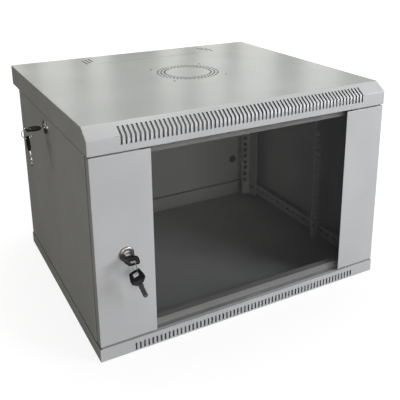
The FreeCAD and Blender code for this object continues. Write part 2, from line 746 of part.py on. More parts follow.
def make_door():
    lock_strip = make_door_strip("door_lock_strip", -1, size("lock_strip"))
    hole = sketch_on(lock_strip, "XZ_Plane", -front)
    draw_circle(hole, door_lock_x, door_lock_z,
                size("lock_barrel") + 2 * size("lock_hole_play"))
    pocket(lock_strip, hole, 4 * steel, symmetric=True)
    hinge_strip = make_door_strip("door_hinge_strip", 1, size("hinge_strip"))
    bores = sketch_on(hinge_strip, "XY_Plane", (door_foot + door_top) / 2)
    draw_circle(bores, hinge_x, hinge_y, size("hinge_pin"))
    pocket(hinge_strip, bores, door_top - door_foot + 2 * steel, symmetric=True)

    left = size("lock_strip") - door_side - size("glass_lap")
    right = door_side - size("hinge_strip") + size("glass_lap")
    glass = new_body("door_glass")
    pane = sketch_on(glass, "XZ_Plane", -glass_front)
    short = size("glass_short")
    draw_box(pane, left, right, door_foot + short, door_top - short)
    sheet_pad = pad(glass, pane, size("glass_thick"), backwards=True)
    doc.recompute()
    edge = glass.newObject("PartDesign::Chamfer", "door_glass_polish")
    edge.Base = (sheet_pad, long_edges(sheet_pad.Shape, size("glass_thick").value))
    bind(edge, "Size", size("glass_edge"))

    tapes = []
    for label, start in (("door_tape_left", left + (size("glass_lap") - size("tape_width")) / 2),
                         ("door_tape_right", right - (size("glass_lap") + size("tape_width")) / 2)):
        tape = primitive("Box", label, Length=size("tape_width"), Width=size("tape_thick"),
                         Height=door_top - door_foot - 2 * steel - 2 * short)
        place(tape, start, front + steel, door_foot + steel + short)
        tapes.append(tape)
    group("door_glass_tapes", tapes)

    out, pin = size("hinge_pin_out"), size("hinge_pin_long")
    pins = []
    for label, foot in (("pin_lower", door_foot - out), ("pin_upper", door_top + out - pin)):
        peg = primitive("Cylinder", label, Radius=size("hinge_pin") / 2, Height=pin)
        place(peg, hinge_x, hinge_y, foot)
        pins.append(peg)
    group("door_hinge_pins", pins)


def make_hinge_bushes():
    """Plain bushes in the base's lip and in the top cover's lip; the door rides on the lower."""
    bore, tube = size("hinge_pin") / 2 + size("hinge_play"), size("bush_tube") / 2
    below = 2 * steel
    bushes = []
    for label, lip, gap, way in (("bush_lower", base_top, size("door_foot_gap"), 1),
                                 ("bush_upper", skirt_foot, size("door_head_gap"), -1)):
        body = new_body(label)
        outline = sketch_on(body, "XY_Plane")
        draw_circle(outline, 0, 0, 2 * bore)
        draw_circle(outline, 0, 0, 2 * tube)
        pad(body, outline, gap - size("bush_gap") + below, backwards=way < 0)
        place(body, hinge_x, hinge_y, lip - way * below)
        bushes.append(body)
    group("hinge_bushes", bushes)


# ------------------------------------------------------------------- side panels

def make_side_panel(label, hand):
    """Tray with folded edges; it stands on the base's lip and tilts out."""
    body = new_body(label)
    thin = size("panel_steel")
    outside = sketch_on(body, "YZ_Plane", hand * panel_face)
    draw_box(outside, panel_front, back, panel_foot, panel_top)
    pad(body, outside, size("panel_return"), backwards=hand > 0)
    hollow = sketch_on(body, "YZ_Plane", hand * (panel_face - thin))
    draw_box(hollow, panel_front + thin, back - thin, panel_foot + thin, panel_top - thin)
    pocket(body, hollow, size("panel_return"), backwards=hand < 0)
    hole = sketch_on(body, "YZ_Plane", hand * panel_face)
    draw_circle(hole, size("panel_lock_back"), panel_lock_z,
                size("lock_barrel") + 2 * size("lock_hole_play"))
    pocket(body, hole, 4 * thin, symmetric=True)


# ------------------------------------------------------- locks, keys and key rings

def local_place(body, spot, turn, offset=(0, 0, 0), own=None):
    """Put a piece of a lock where the lock is: spot in the cabinet, offset in the lock."""
    moved = turn.multVec(Vector(1, 0, 0)), turn.multVec(Vector(0, 1, 0)), Vector(0, 0, 1)
    total = []
    for axis in range(3):
        length = spot[axis]
        for part, direction in zip(offset, moved):
            share = round(direction[axis])
            if share:
                length = length + share * as_size(part)
        total.append(length)
    place(body, total[0], total[1], total[2], turn.multiply(own or Rotation()))


def make_lock(prefix, spot, turn, sheet_thick, barrel, cam_turn):
    """Housing, nut, plug and cam.  In the lock's own frame the key comes from -Y."""
    rosette, proud = size("lock_rosette_thick"), size("lock_plug_proud")
    plug_radius = size("lock_plug") / 2
    bore = plug_radius + size("lock_plug_play")
    housing = new_body(prefix + "_housing")
    half = sketch_on(housing, "XY_Plane")
    wide = size("lock_rosette") / 2
    draw_polygon(half, (
        (bore, -rosette), (wide - rosette / 2, -rosette), (wide, 0),
        (size("lock_barrel") / 2, 0), (size("lock_barrel") / 2, barrel), (bore, barrel)))
    revolve(housing, half, "V_Axis")
    local_place(housing, spot, turn)

    nut = new_body(prefix + "_nut")
    outline = sketch_on(nut, "XZ_Plane", -sheet_thick)
    draw_hexagon(outline, size("lock_nut"))
    draw_circle(outline, 0, 0, size("lock_barrel") + 2 * size("lock_plug_play"))
    pad(nut, outline, size("lock_nut_thick"), backwards=True)
    local_place(nut, spot, turn)

    plug = new_body(prefix + "_plug")
    cam_near = barrel + size("cam_gap")
    barrel_part = sketch_on(plug, "XZ_Plane", rosette + proud)
    draw_circle(barrel_part, 0, 0, 2 * plug_radius)
    pad(plug, barrel_part, rosette + proud + cam_near, backwards=True)
    square = sketch_on(plug, "XZ_Plane", -cam_near)
    flat = size("cam_square") / 2
    draw_box(square, -flat, flat, -flat, flat)
    pad(plug, square, size("cam_thick"), backwards=True)
    screw = sketch_on(plug, "XZ_Plane", -(cam_near + size("cam_thick")))
    draw_hexagon(screw, size("cam_screw"))
    pad(plug, screw, size("cam_thick"), backwards=True)
    keyway = sketch_on(plug, "XZ_Plane", rosette + proud)
    play = size("keyway_play")
    wide, thick = size("key_blade_width") / 2 + play, size("key_blade_thick") / 2 + play
    draw_box(keyway, -wide, wide, -thick, thick)
    pocket(plug, keyway, barrel)
    local_place(plug, spot, turn)

    cam = new_body(prefix + "_cam")
    outline = sketch_on(cam, "XZ_Plane", -cam_near)
    half_cam = size("cam_width") / 2
    tip = half_cam / 2
    draw_polygon(outline, (
        (-half_cam, half_cam), (-half_cam, -half_cam), (-tip, -size("cam_reach")),
        (tip, -size("cam_reach")), (half_cam, -half_cam), (half_cam, half_cam)))
    draw_box(outline, -flat, flat, -flat, flat)
    pad(cam, outline, size("cam_thick"), backwards=True)
    local_place(cam, spot, turn, own=Rotation(Vector(0, 1, 0), cam_turn))


def make_key(prefix, spot, turn, offset, own, blade_long):
    """Moulded bow with a slot, and the blade; the key points along its own +Y."""
    bow = new_body(prefix + "_bow")
    outline = sketch_on(bow, "XY_Plane")
    neck, wide, end = size("bow_neck") / 2, size("bow_width") / 2, size("bow_end") / 2
    long, shoulder = size("bow_long"), size("bow_long") / 4
    corner = size("bow_strip") / 2
    draw_polygon(outline, (
        (-neck, 0), (-wide, -shoulder), (-wide, -2 * shoulder), (-end, corner - long),
        (corner - end, -long), (end - corner, -long), (end, corner - long),
        (wide, -2 * shoulder), (wide, -shoulder), (neck, 0)))
    slot_far = size("bow_strip") - long
    slot_half = size("bow_slot_wide") / 2
    draw_box(outline, -slot_half, slot_half, slot_far, slot_far + size("bow_slot_long"))
    pad(bow, outline, size("bow_thick"), symmetric=True)
    local_place(bow, spot, turn, offset, own)

    blade = new_body(prefix + "_blade")
    outline = sketch_on(blade, "XY_Plane")
    half = size("key_blade_width") / 2
    long = as_size(blade_long)
    draw_polygon(outline, (
        (-half, 0), (half, 0), (half, long - half), (half / 3, long), (-half / 3, long),
        (-half, long - half)))
    pad(blade, outline, size("key_blade_thick"), symmetric=True)
    local_place(blade, spot, turn, offset, own)


def make_key_set(prefix, spot, turn, barrel):
    """A key in the lock, the ring on its bow, and the spare key on the ring."""
    bow_back = -(size("lock_rosette_thick") + size("lock_plug_proud") + size("key_out"))
    level = Rotation()
    inserted = size("key_out") + barrel - size("cam_gap")
    make_key(prefix + "_key", spot, turn, (0, bow_back, 0), level, inserted)
    strip = bow_back - size("bow_long") + size("bow_strip") / 2
    ring_z = -size("ring_hang")
    ring = new_body(prefix + "_key_ring")
    wire = sketch_on(ring, "XY_Plane")
    half_wire = size("ring_wire") / 2
    draw_box(wire, -half_wire, half_wire,
             size("ring_radius") - half_wire, size("ring_radius") + half_wire)
    revolve(ring, wire, "H_Axis")
    local_place(ring, spot, turn, (0, strip, ring_z))
    wire_z = ring_z - size("ring_radius")
    # the spare key's own +Y points down; it turns about the wire by the lean
    lean = size("spare_lean").value
    down = Rotation(Vector(0, 1, 0), -lean).multiply(Rotation(Vector(1, 0, 0), -90))
    drop = size("bow_strip") - size("bow_long") + size("ring_wire") / 2 + size("ring_play")
    shift = down.multVec(Vector(0, drop.value, 0))
    offset = (-shift.x, strip, wire_z - shift.z)
    make_key(prefix + "_spare", spot, turn, offset, down, size("key_blade_long"))


# ----------------------------------------------------------------- build it all

make_top_cover()
make_base_cover()
make_back_panel()
make_rear_rail("rear_rail_lower", steel, size("rear_rail_low"), True)
make_rear_rail("rear_rail_upper", roof - steel - size("rear_rail_high"), roof - steel, False)
make_front_rail("front_rail_lower", steel, sill_top, True)
make_front_rail("front_rail_upper", head_foot, roof - size("head_rail_top"), False)
for hand, name in ((-1, "left"), (1, "right")):
    make_front_post("front_post_" + name, hand)
    make_rear_post("rear_post_" + name, hand)
    make_depth_rail("depth_rail_lower_" + name, hand, low_beam_middle)
    make_depth_rail("depth_rail_upper_" + name, hand, high_beam_middle)
    make_rack_rail("rack_rail_front_" + name, hand, rail_face, 1)
    make_rack_rail("rack_rail_rear_" + name, hand, rear_rail_face, -1)
    make_wall_rail("wall_rail_" + name, hand)
    make_side_panel("side_panel_" + name, hand)
make_rail_bolts()
make_hinge_bushes()
make_door()

facing_front = Rotation()
facing_left = Rotation(Vector(0, 0, 1), -90)
facing_right = Rotation(Vector(0, 0, 1), 90)
door_spot = (door_lock_x, front, door_lock_z)
left_spot = (-panel_face, size("panel_lock_back"), panel_lock_z)
right_spot = (panel_face, size("panel_lock_back"), panel_lock_z)
door_barrel, panel_barrel = size("door_barrel_long"), panel_face - beam_face
thin = size("panel_steel")
make_lock("door_lock", door_spot, facing_front, steel, door_barrel, 0)
make_key_set("door", door_spot, facing_front, door_barrel)
make_lock("left_lock", left_spot, facing_left, thin, panel_barrel, -90)
make_key_set("left", left_spot, facing_left, panel_barrel)
make_lock("right_lock", right_spot, facing_right, thin, panel_barrel, 90)


# -------------------------------------------------------------- check and write

def sub_parts():
    """Every shape that no other feature is made from."""
    return [item for item in doc.Objects if hasattr(item, "Shape") and not item.InList]


doc.recompute()
for item in doc.Objects:
    if "Invalid" in item.State or "Error" in item.State:
        raise RuntimeError("%s did not build: %s" % (item.Label, item.State))
for item in sub_parts():
    if item.Shape.isNull() or not item.Shape.isValid():
        raise RuntimeError("%s has no valid shape" % item.Label)
os.makedirs("parts", exist_ok=True)
for item in sub_parts():
    item.Shape.exportStep("parts/%s.step" % item.Label)
print("%d sub-parts written" % len(sub_parts()))
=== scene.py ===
import json
import math

import bmesh
import bpy
from bpy.props import FloatProperty, FloatVectorProperty, PointerProperty
from mathutils import Matrix, Vector

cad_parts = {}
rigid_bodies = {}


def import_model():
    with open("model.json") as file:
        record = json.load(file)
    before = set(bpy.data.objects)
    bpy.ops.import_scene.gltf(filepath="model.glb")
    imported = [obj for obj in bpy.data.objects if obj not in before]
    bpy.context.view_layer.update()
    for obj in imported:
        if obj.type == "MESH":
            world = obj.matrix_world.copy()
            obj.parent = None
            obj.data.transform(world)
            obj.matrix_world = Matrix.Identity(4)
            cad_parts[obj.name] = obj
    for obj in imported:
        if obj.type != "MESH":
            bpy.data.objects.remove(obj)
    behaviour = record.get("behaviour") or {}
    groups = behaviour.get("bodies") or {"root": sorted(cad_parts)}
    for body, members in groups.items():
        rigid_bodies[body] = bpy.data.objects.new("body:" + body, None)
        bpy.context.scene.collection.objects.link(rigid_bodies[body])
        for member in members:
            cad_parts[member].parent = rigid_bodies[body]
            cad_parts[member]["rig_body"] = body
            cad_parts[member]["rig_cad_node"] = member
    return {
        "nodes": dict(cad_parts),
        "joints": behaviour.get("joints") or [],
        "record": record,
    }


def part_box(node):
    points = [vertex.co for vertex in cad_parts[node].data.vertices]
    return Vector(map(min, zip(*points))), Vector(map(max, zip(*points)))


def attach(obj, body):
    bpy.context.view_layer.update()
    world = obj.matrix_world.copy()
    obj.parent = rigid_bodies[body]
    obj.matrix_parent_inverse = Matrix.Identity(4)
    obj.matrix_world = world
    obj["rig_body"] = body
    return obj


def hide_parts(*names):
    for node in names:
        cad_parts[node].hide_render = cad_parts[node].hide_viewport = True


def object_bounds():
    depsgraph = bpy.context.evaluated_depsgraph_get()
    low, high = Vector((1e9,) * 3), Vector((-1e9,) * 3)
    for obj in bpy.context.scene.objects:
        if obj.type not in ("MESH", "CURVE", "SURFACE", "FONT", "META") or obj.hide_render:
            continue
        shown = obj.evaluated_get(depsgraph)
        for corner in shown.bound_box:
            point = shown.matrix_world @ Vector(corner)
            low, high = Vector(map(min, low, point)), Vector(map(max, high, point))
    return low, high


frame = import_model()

bl_info = {
    "name": "Wall Cabinet Look",
    "version": (1, 0, 0),
    "blender": (4, 5, 0),
    "location": "3D View > Sidebar > Cabinet",
    "description": "Finishes for a wall mount network cabinet",
    "category": "Object",
}

cad_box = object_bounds()

# Places closer together than this count as the same place.
TINY = 0.00001
# A face points along an axis when its normal reaches this share along it.
FACING = 0.9
# Edges of the copied solids count as sharp past this angle.
SHARP_DEGREES = 28


# ------------------------------------------------------------------ shader maths

class Value:
    """A socket that can be added, multiplied and mixed like a number."""

    def __init__(self, shader, socket):
        self.shader = shader
        self.socket = socket

    def _math(self, operation, first, second=0.0, third=0.0):
        return self.shader.node("ShaderNodeMath", {"operation": operation},
                                {0: first, 1: second, 2: third})

    def __add__(self, other):
        return self._math("ADD", self, other)

    __radd__ = __add__

    def __sub__(self, other):
        return self._math("SUBTRACT", self, other)

    def __rsub__(self, other):
        return self._math("SUBTRACT", other, self)

    def __mul__(self, other):
        return self._math("MULTIPLY", self, other)

    __rmul__ = __mul__

    def within(self, low, high):
        """One between the two limits, and nothing outside them."""
        return self._math("COMPARE", self, (low + high) / 2, (high - low) / 2)


class Shader:
    """A node material for one finish."""

    def __init__(self, name):
        self.material = bpy.data.materials.new(name)
        self.material.use_nodes = True
        self.tree = self.material.node_tree
        self.tree.nodes.clear()
        self.output = self.tree.nodes.new("ShaderNodeOutputMaterial")
        self.place = self.node("ShaderNodeTexCoord", output="Object")

    def node(self, kind, settings=None, inputs=None, output=0):
        """Any node, with its settings made first and then its sockets filled or linked."""
        made = self.tree.nodes.new(kind)
        for name, setting in (settings or {}).items():
            setattr(made, name, setting)
        for name, value in (inputs or {}).items():
            if isinstance(value, Value):
                self.tree.links.new(value.socket, made.inputs[name])
            else:
                made.inputs[name].default_value = value
        return Value(self, made.outputs[output])

    def stretched(self, x, y, z):
        """Object coordinates with another scale along each axis."""
        return self.node("ShaderNodeMapping", {"vector_type": "POINT"},
                         {"Vector": self.place, "Scale": (x, y, z)})

    def axes(self):
        """Object coordinates as three numbers."""
        split = self.node("ShaderNodeSeparateXYZ", None, {"Vector": self.place})
        outputs = split.socket.node.outputs
        return [Value(self, outputs[axis]) for axis in "XYZ"]

    def noise(self, scale, detail, roughness=0.5, where=None):
        """Soft noise on Object coordinates, or on the ones given."""
        return self.node("ShaderNodeTexNoise", None,
                         {"Vector": where or self.place, "Scale": scale, "Detail": detail,
                          "Roughness": roughness})

    def spread(self, value, low, high, to_low=0.0, to_high=1.0):
        """The value's range from low to high, stretched over another range."""
        return self.node("ShaderNodeMapRange", {"clamp": True},
                         {"Value": value, "From Min": low, "From Max": high,
                          "To Min": to_low, "To Max": to_high})

    def blend(self, share, first, second):
        """Colour mix."""
        return self.node("ShaderNodeMix", {"data_type": "RGBA"},
                         {0: share, 6: first, 7: second}, output=2)

    def bump(self, height, distance, strength):
        """A normal bent by small heights, with the distance in metres."""
        return self.node("ShaderNodeBump", None,
                         {"Height": height, "Distance": distance, "Strength": strength})

    def finish(self, **sockets):
        """Close the material with one surface that has these sockets."""
        named = {name.replace("_", " "): value for name, value in sockets.items()}
        surface = self.node("ShaderNodeBsdfPrincipled", None, named)
        self.tree.links.new(surface.socket, self.output.inputs["Surface"])
        return self.material

    def mix(self, share, first, second):
        """Close the material with two surfaces mixed by a share."""
        surface = self.node("ShaderNodeMixShader", None, {0: share, 1: first, 2: second})
        self.tree.links.new(surface.socket, self.output.inputs["Surface"])
        return self.material


def opaque(colour, shade=1.0):
    """The colour with full alpha, darker or lighter by the shade."""
    return (colour[0] * shade, colour[1] * shade, colour[2] * shade, 1.0)


def shaded_slot_walls(axes, cover, look):
    """One on the walls of the slots in the covers, which get painted shade in the base colour."""
    low, high = cover
    front, roof = low.y, high.z
    x, y, z = axes
    run, drop = look.slope_run, look.slope_drop
    # A wall lies between these depths below the sheet's outside.
    shallow, deep, roof_shallow = 0.00025, 0.0016, 0.00005
    # The slots keep these distances from the cover's sides, edges and bends.
    row_margin, edge_margin, bend_margin, ridge_margin = 0.04, 0.01, 0.004, 0.003
    slant = math.hypot(run, drop)
    under_slope = (y - front) * (drop / slant) - (z - (roof - drop)) * (run / slant)
    in_rows = x.within(low.x + row_margin, high.x - row_margin)
    on_roof = (z.within(roof - deep, roof - roof_shallow)
               * x.within(low.x + edge_margin, high.x - edge_margin)
               * y.within(front + run + bend_margin, high.y - edge_margin))
    on_slope = (under_slope.within(shallow, deep) * in_rows
                * z.within(roof - drop, roof - ridge_margin))
    behind_front = y.within(front + shallow, front + deep) * in_rows
    on_fascia = behind_front * z.within(roof - drop - look.fascia_slot, roof - drop)
    on_base = behind_front * z.within(look.base_slot_low, look.base_slot_high)
    return on_roof + on_slope + on_fascia + on_base


def shaded_side_seams(axes, cover, look):
    """One along the side panels' upper and lower seams, where a painted shadow line goes."""
    low, high = cover
    x, _, z = axes
    side_margin = 0.004
    # How far the painted shade reaches above and below each seam.
    skirt_above, skirt_below, base_above, base_below = 0.0006, 0.0021, 0.0012, 0.0004
    outside = 1.0 - x.within(low.x + side_margin, high.x - side_margin)
    skirt_foot = high.z - look.skirt
    under_skirt = z.within(skirt_foot - skirt_below, skirt_foot + skirt_above) * outside
    over_base = z.within(look.base_tall - base_below, look.base_tall + base_above) * outside
    return under_skirt + over_base


def powder_coat(look):
    """Light grey paint: faint clouding, fine orange peel, rubbed spots, painted shade in slots and
    seams.
    """
    shader = Shader("light_grey_powder_coat")
    cloud = shader.noise(scale=9.0, detail=2.0)
    grain = shader.noise(scale=1400.0, detail=2.0)
    rub = shader.spread(shader.noise(scale=38.0, detail=6.0, roughness=0.65), 0.62, 0.78)
    tint = shader.blend(shader.spread(cloud, 0.35, 0.65), opaque(look.paint, 0.96),
                        opaque(look.paint, 1.03))
    speck = shader.spread(grain, 0.3, 0.7)
    painted = shader.blend(speck * 0.06, tint, opaque(look.paint, 0.7))
    axes, cover = shader.axes(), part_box("top_cover")
    # Painted shade: the slot walls and the side seams are darkened in the base colour.
    painted_shade = shaded_slot_walls(axes, cover, look) + shaded_side_seams(axes, cover, look) * look.seam_shade
    colour = shader.blend(painted_shade, painted, opaque(look.paint, look.cut_shade))
    roughness = look.paint_roughness + rub * 0.015 + cloud * 0.03
    peel = shader.noise(scale=620.0, detail=1.0) * 0.7 + grain * 0.3
    return shader.finish(Base_Color=colour, Roughness=roughness,
                         Normal=shader.bump(peel, distance=0.00004, strength=0.35), IOR=1.5)


def nickel(look):
    """Bright plating with fine polishing lines."""
    shader = Shader("bright_nickel_plate")
    lines = shader.noise(scale=900.0, detail=3.0, where=shader.stretched(1.0, 0.12, 1.0))
    spots = shader.spread(shader.noise(scale=160.0, detail=4.0, roughness=0.6), 0.5, 0.75)
    colour = shader.blend(spots * 0.25, opaque(look.nickel), opaque(look.nickel, 0.72))
    return shader.finish(Base_Color=colour, Metallic=1.0,
                         Roughness=0.24 + lines * 0.1 + spots * 0.08,
                         Normal=shader.bump(lines, distance=0.00002, strength=0.3))


def zinc(look):
    """Dull plating with a faint spangle."""
    shader = Shader("zinc_plate")
    spangle = shader.node("ShaderNodeTexVoronoi", None,
                          {"Vector": shader.place, "Scale": 420.0}, output="Distance")
    haze = shader.noise(scale=260.0, detail=4.0)
    colour = shader.blend(shader.spread(haze, 0.35, 0.7), opaque(look.zinc),
                          opaque(look.zinc, 0.7))
    return shader.finish(Base_Color=colour, Metallic=1.0,
                         Roughness=0.34 + spangle * 0.12,
                         Normal=shader.bump(haze, distance=0.00002, strength=0.3))


def brass(look):
    """Turned brass with fine rings and some tarnish."""
    shader = Shader("turned_brass")
    rings = shader.noise(scale=700.0, detail=2.0, where=shader.stretched(0.1, 0.1, 1.0))
    tarnish = shader.spread(shader.noise(scale=120.0, detail=4.0), 0.45, 0.75)
    colour = shader.blend(tarnish * 0.5, opaque(look.brass), opaque(look.brass, 0.55))
    return shader.finish(Base_Color=colour, Metallic=1.0, Roughness=0.28 + tarnish * 0.15,
                         Normal=shader.bump(rings, distance=0.00002, strength=0.3))


def key_plastic(look):
    """Moulded black plastic with a fine spark texture."""
    shader = Shader("moulded_key_plastic")
    spark = shader.noise(scale=1800.0, detail=3.0)
    worn = shader.spread(shader.noise(scale=220.0, detail=5.0, roughness=0.6), 0.55, 0.8)
    colour = shader.blend(worn * 0.5, opaque(look.plastic), opaque(look.plastic, 2.0))
    return shader.finish(Base_Color=colour, Roughness=0.5 - worn * 0.1, Specular_IOR_Level=0.3,
                         Normal=shader.bump(spark, distance=0.00003, strength=0.5))


def foam_tape(look):
    """Black foam with open cells."""
    shader = Shader("black_bonding_tape")
    cells = shader.noise(scale=1500.0, detail=4.0)
    colour = shader.blend(cells, opaque(look.plastic, 0.8), opaque(look.plastic, 1.6))
    return shader.finish(Base_Color=colour, Roughness=0.9,
                         Normal=shader.bump(cells, distance=0.0001, strength=0.6))


def smoked_glass(look):
    """Each face lets part of the light through and mirrors a little of the room."""
    shader = Shader("smoked_glass_pane")
    dark_tint = (0.035, 0.035, 0.036)
    smear = shader.spread(shader.noise(scale=14.0, detail=5.0, roughness=0.6), 0.5, 0.8)
    through = shader.node("ShaderNodeBsdfTransparent", None, {"Color": opaque(look.smoke)})
    face = shader.node("ShaderNodeBsdfPrincipled", None,
                       {"Base Color": opaque(dark_tint),
                        "Roughness": 0.03 + smear * 0.04, "Specular IOR Level": 0.5})
    slant = shader.node("ShaderNodeLayerWeight", None, {"Blend": 0.12}, output="Fresnel")
    return shader.mix(shader.spread(slant, 0.0, 1.0, look.glass_body, 1.0), through, face)


# ------------------------------------------------------------------ settings

def colour_setting(name, description, default):
    return FloatVectorProperty(name=name, description=description, subtype="COLOR", size=3,
                               min=0.0, max=1.0, default=default)


def length_setting(name, description, default):
    return FloatProperty(name=name, description=description, subtype="DISTANCE",
                         unit="LENGTH", min=0.0, default=default)


def size_setting(name, description, default):
    return FloatVectorProperty(name=name, description=description, subtype="XYZ",
                               unit="LENGTH", size=3, min=0.0, default=default)


class CabinetLook(bpy.types.PropertyGroup):
    """Colours and small sizes of the finish."""

    paint: colour_setting("Paint", "Powder coat on all sheet steel", (0.60, 0.615, 0.59))
    paint_roughness: FloatProperty(name="Paint roughness", description="Lower is glossier",
                                   min=0.05, max=1.0, default=0.22)
    # Painted shade on the slot walls: the share of the paint colour that is left.
    cut_shade: FloatProperty(name="Cut shade", description="Paint's share of light in slots",
                             min=0.0, max=1.0, default=0.12)
    slope_run: length_setting("Slope run", "Sloped front edge, front to back", 0.021)
    slope_drop: length_setting("Slope drop", "Sloped front edge, height", 0.015)
    skirt: length_setting("Skirt", "Folded sides of the top cover", 0.038)
    base_tall: length_setting("Base", "Folded sides of the base", 0.022)
    # Painted shadow line along the side seams.
    seam_shade: FloatProperty(name="Seam shade", description="Darkening of the side seams",
                             min=0.0, max=1.0, default=0.7)
    fascia_slot: length_setting("Fascia slots", "Slots below the sloped edge", 0.0125)
    base_slot_low: length_setting("Base slots' foot", "Above the underside", 0.0025)
    base_slot_high: length_setting("Base slots' head", "Above the underside", 0.014)
    nickel: colour_setting("Nickel", "Locks, key blades and rings", (0.62, 0.60, 0.56))
    zinc: colour_setting("Zinc", "Bolts, nuts, cams and pins", (0.50, 0.51, 0.53))
    brass: colour_setting("Brass", "Hinge bushes", (0.52, 0.36, 0.14))
    plastic: colour_setting("Plastic", "Key bows and tape", (0.006, 0.006, 0.0065))
    smoke: colour_setting("Smoke", "Tint of the light that gets through",
                          (1.0, 1.0, 0.99))
    glass_body: FloatProperty(name="Glass body", description="Light stopped by one face",
                              min=0.0, max=1.0, default=0.21)
    fold_radius: length_setting("Fold radius", "Outside radius of bent steel", 0.0012)
    broken_edge: length_setting("Broken edge", "Edges of bolts, cams and plugs", 0.00025)
    rosette_thick: length_setting("Rosette", "Thickness of a lock's flange", 0.003)
    barrel: length_setting("Barrel", "Diameter of a lock's barrel", 0.018)
    bore: length_setting("Bore", "Diameter of the hole for the plug", 0.0121)
    bore_deep: length_setting("Bore depth", "Depth of the hole for the plug", 0.018)
    bow_size: size_setting("Bow", "Width, length and thickness of a key's bow",
                           (0.022, 0.024, 0.0026))
    bow_neck: length_setting("Bow neck", "Bow's width at the blade", 0.010)
    bow_end: length_setting("Bow end", "Bow's width at its far end", 0.016)
    bow_strip: length_setting("Bow strip", "Bow beyond its slot", 0.0026)
    bow_slot_wide: length_setting("Slot width", "Across the key", 0.008)
    bow_slot_long: length_setting("Slot length", "Along the key", 0.0084)
    bow_rounding: length_setting("Bow rounding", "Rounding of the bow's edges", 0.00035)
    blade_size: size_setting("Blade", "Width, length and thickness",
                             (0.0076, 0.026, 0.002))
    ring_radius: length_setting("Ring", "Radius to the middle of the wire", 0.009)
    wire: length_setting("Wire", "Breadth of the flat wire, and height of the coil", 0.0014)
    wire_to_neck: length_setting("Hanging length", "Ring's wire to the spare key's blade",
                                 0.02035)
    spare_lean: FloatProperty(name="Spare lean", description="Degrees off the vertical",
                              min=-90.0, max=90.0, default=20.0)


class CabinetStage(bpy.types.PropertyGroup):
    """Camera, lamps and floor."""

    focal: FloatProperty(name="Focal length", description="On a 36 mm sensor",
                         min=10.0, default=54.44)
    shift: FloatVectorProperty(name="Shift", description="Framing of the lens", size=2,
                               default=(-0.0311, -0.2079))
    eye: FloatVectorProperty(name="Eye", description="Camera position", subtype="XYZ",
                             unit="LENGTH", size=3, default=(-0.48564, -0.96211, 0.61804))
    ahead: FloatVectorProperty(name="Ahead", description="Direction of view", subtype="XYZ",
                               size=3, default=(0.46083, 0.83774, -0.29297))
    upward: FloatVectorProperty(name="Upward", description="Top of the picture",
                                subtype="XYZ", size=3, default=(0.14554, 0.25431, 0.95611))
    key_watts: FloatProperty(name="Key lamp", description="Power of the main lamp",
                             unit="POWER", default=22.0)
    front_watts: FloatProperty(name="Front lamp", description="Power of the low lamp ahead",
                               unit="POWER", default=17.5)
    fill_watts: FloatProperty(name="Fill lamp", description="Power of the left lamp",
                              unit="POWER", default=5.0)
    top_watts: FloatProperty(name="Top lamp", description="Power of the lamp overhead",
                             unit="POWER", default=19.0)
    strip_watts: FloatProperty(name="Strip lamps",
                               description="Power for each metre of a tall lamp's width",
                               unit="POWER", default=4.2)
    sky: FloatProperty(name="Sky", description="Light from all round", default=0.16)


# ------------------------------------------------------------------ modelling helpers

def bare():
    """Object mode, with nothing selected."""
    if bpy.context.object and bpy.context.object.mode != "OBJECT":
        bpy.ops.object.mode_set(mode="OBJECT")
    bpy.ops.object.select_all(action="DESELECT")


def activate(piece):
    """Select this piece alone and make it the active one."""
    bare()
    piece.select_set(True)
    bpy.context.view_layer.objects.active = piece
    return piece


def dress(piece, material):
    """Give the piece this one material."""
    piece.data.materials.clear()
    piece.data.materials.append(material)


def look_of(context):
    """The settings of the finish."""
    return context.scene.cabinet_look


def material_for(slot, look):
    """The finish of a record slot, made once."""
    finishes = {
        "grey_powder_coat": ("light_grey_powder_coat", powder_coat),
        "bright_nickel": ("bright_nickel_plate", nickel),
        "zinc_plated_steel": ("zinc_plate", zinc),
        "hinge_brass": ("turned_brass", brass),
        "black_key_plastic": ("moulded_key_plastic", key_plastic),
        "bonding_tape": ("black_bonding_tape", foam_tape),
        "smoked_glass": ("smoked_glass_pane", smoked_glass),
    }
    name, maker = finishes[slot]
    return bpy.data.materials.get(name) or maker(look)


def slot_of(node):
    """The record's material slot of a node."""
    for part in frame["record"]["subparts"]:
        if part["node"] == node:
            return part["material_slot"]
    raise RuntimeError("no material slot for " + node)


def edit(piece):
    """Edit mode on one piece, with everything in it selected."""
    activate(piece)
    bpy.ops.object.mode_set(mode="EDIT")
    bpy.ops.mesh.select_mode(type="VERT")
    bpy.ops.mesh.select_all(action="SELECT")


def choose(piece, kind, test):
    """Select the vertices, edges or faces that pass the test."""
    bpy.ops.mesh.select_mode(type={"verts": "VERT", "edges": "EDGE", "faces": "FACE"}[kind])
    bpy.ops.mesh.select_all(action="DESELECT")
    mesh = bmesh.from_edit_mesh(piece.data)
    found = [item for item in getattr(mesh, kind) if test(item)]
    for item in found:
        item.select_set(True)
    mesh.select_flush_mode()
    bmesh.update_edit_mesh(piece.data)
    return len(found)


def cut_across(*planes):
    """Cut the whole mesh along each plane, given as a point and a normal."""
    for point, normal in planes:
        bpy.ops.mesh.select_all(action="SELECT")
        bpy.ops.mesh.bisect(plane_co=point, plane_no=normal)


def apply_modifier(piece, kind, **settings):
    """Add a modifier with these settings and apply it at once."""
    modifier = piece.modifiers.new(kind.lower(), kind)
    for name, value in settings.items():
        setattr(modifier, name, value)
    activate(piece)
    bpy.ops.object.modifier_apply(modifier=modifier.name)


def smooth(piece, degrees):
    """Outward normals, and soft shading across shallow angles only."""
    edit(piece)
    bpy.ops.mesh.normals_make_consistent(inside=False)
    bpy.ops.object.mode_set(mode="OBJECT")
    bpy.ops.object.shade_smooth_by_angle(angle=math.radians(degrees))


def block(name, size, centre):
    """A box of this size, left in edit mode."""
    bare()
    bpy.ops.mesh.primitive_cube_add(size=1.0)
    piece = bpy.context.object
    piece.name = name
    edit(piece)
    bpy.ops.transform.resize(value=size)
    bpy.ops.transform.translate(value=centre)
    return piece


